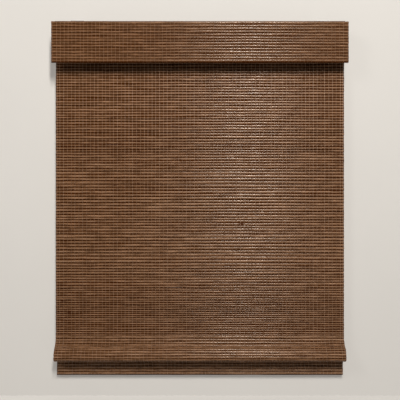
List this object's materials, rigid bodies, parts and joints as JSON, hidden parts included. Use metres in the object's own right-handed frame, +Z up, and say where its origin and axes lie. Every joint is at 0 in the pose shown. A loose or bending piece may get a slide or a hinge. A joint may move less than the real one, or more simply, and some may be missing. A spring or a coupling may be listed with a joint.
{
  "type": "bamboo roman shade",
  "caption": "Woven bamboo roman shade for an inside mount: flat reed valance, flat reed panel with a soft bottom fold and weighted hem, sprung cordless lift in the headrail.",
  "frame": {"origin": "middle of the four ceiling screw holes, in the plane where the two brackets meet the lintel", "axes": "+X along the headrail to the viewer's right, +Y from the room into the window, +Z up"},
  "size_m": [0.908, 0.0736, 1.1],
  "materials": {
    "bamboo": "satin varnish over dark stained bamboo",
    "rail_paint": "satin brown powder coat",
    "cap_plastic": "fine matte",
    "bracket_zinc": "zinc plated",
    "hook_tape": "short stiff hooks",
    "loop_tape": "soft loop pile",
    "shaft_steel": "drawn",
    "drum_plastic": "fine matte",
    "motor_plastic": "fine matte",
    "spring_steel": "oiled",
    "guide_plastic": "smooth",
    "eyelet_brass": "dull",
    "ring_plastic": "gloss",
    "hem_alloy": "mill finish"
  },
  "bodies": {
    "frame": {"headrail": "rail_paint", "end_cap_left": "cap_plastic", "end_cap_right": "cap_plastic", "bracket_left": "bracket_zinc", "bracket_right": "bracket_zinc", "valance_mat": "bamboo", "valance_hook_tape": "hook_tape", "valance_loop_tape": "loop_tape", "shade_mat": "bamboo", "fold_mat": "bamboo", "shade_hook_tape": "hook_tape", "shade_loop_tape": "loop_tape", "drum_cradle_left": "guide_plastic", "drum_cradle_middle": "guide_plastic", "drum_cradle_right": "guide_plastic", "motor_housing": "motor_plastic", "motor_cover": "motor_plastic", "motor_spring": "spring_steel", "cord_guides": "guide_plastic", "cord_eyelets": "eyelet_brass"},
    "lift_shaft": {"lift_shaft": "shaft_steel", "shaft_bush_left": "drum_plastic", "shaft_bush_right": "drum_plastic", "cord_drum_left": "drum_plastic", "cord_drum_middle": "drum_plastic", "cord_drum_right": "drum_plastic", "motor_arbor": "drum_plastic"},
    "ring_row_1": {"ring_row_1": "ring_plastic"},
    "ring_row_2": {"ring_row_2": "ring_plastic"},
    "ring_row_3": {"ring_row_3": "ring_plastic"},
    "ring_row_4": {"ring_row_4": "ring_plastic"},
    "ring_row_5": {"ring_row_5": "ring_plastic"},
    "hem": {"hem_mat": "bamboo", "hem_bar": "hem_alloy", "hem_cord_eyes": "eyelet_brass"}
  },
  "joints": [
    {"name": "hem_lift", "type": "slide", "parent": "frame", "child": "hem", "axis": [0, 0, 1], "range_m": [0, 0.86], "deforming": ["shade_mat", "fold_mat"]},
    {"name": "lift_shaft_spin", "type": "hinge", "parent": "frame", "child": "lift_shaft", "pos_m": [0, 0, -0.0208], "axis": [1, 0, 0], "range_deg": [0, 3800], "deforming": ["motor_spring"]},
    {"name": "ring_row_1_lift", "type": "slide", "parent": "frame", "child": "ring_row_1", "axis": [0, 0, 1], "range_m": [0, 0.1054]},
    {"name": "ring_row_2_lift", "type": "slide", "parent": "frame", "child": "ring_row_2", "axis": [0, 0, 1], "range_m": [0, 0.2759]},
    {"name": "ring_row_3_lift", "type": "slide", "parent": "frame", "child": "ring_row_3", "axis": [0, 0, 1], "range_m": [0, 0.4464]},
    {"name": "ring_row_4_lift", "type": "slide", "parent": "frame", "child": "ring_row_4", "axis": [0, 0, 1], "range_m": [0, 0.6092]},
    {"name": "ring_row_5_lift", "type": "slide", "parent": "frame", "child": "ring_row_5", "axis": [0, 0, 1], "range_m": [0, 0.7797]}
  ],
  "couplings": [
    {"joint": "lift_shaft_spin", "follows": "hem_lift", "rad_per_m": 76.923},
    {"joint": "ring_row_1_lift", "follows": "hem_lift", "ratio": 0.12022},
    {"joint": "ring_row_2_lift", "follows": "hem_lift", "ratio": 0.31851},
    {"joint": "ring_row_3_lift", "follows": "hem_lift", "ratio": 0.5168},
    {"joint": "ring_row_4_lift", "follows": "hem_lift", "ratio": 0.70607},
    {"joint": "ring_row_5_lift", "follows": "hem_lift", "ratio": 0.90435}
  ]
}
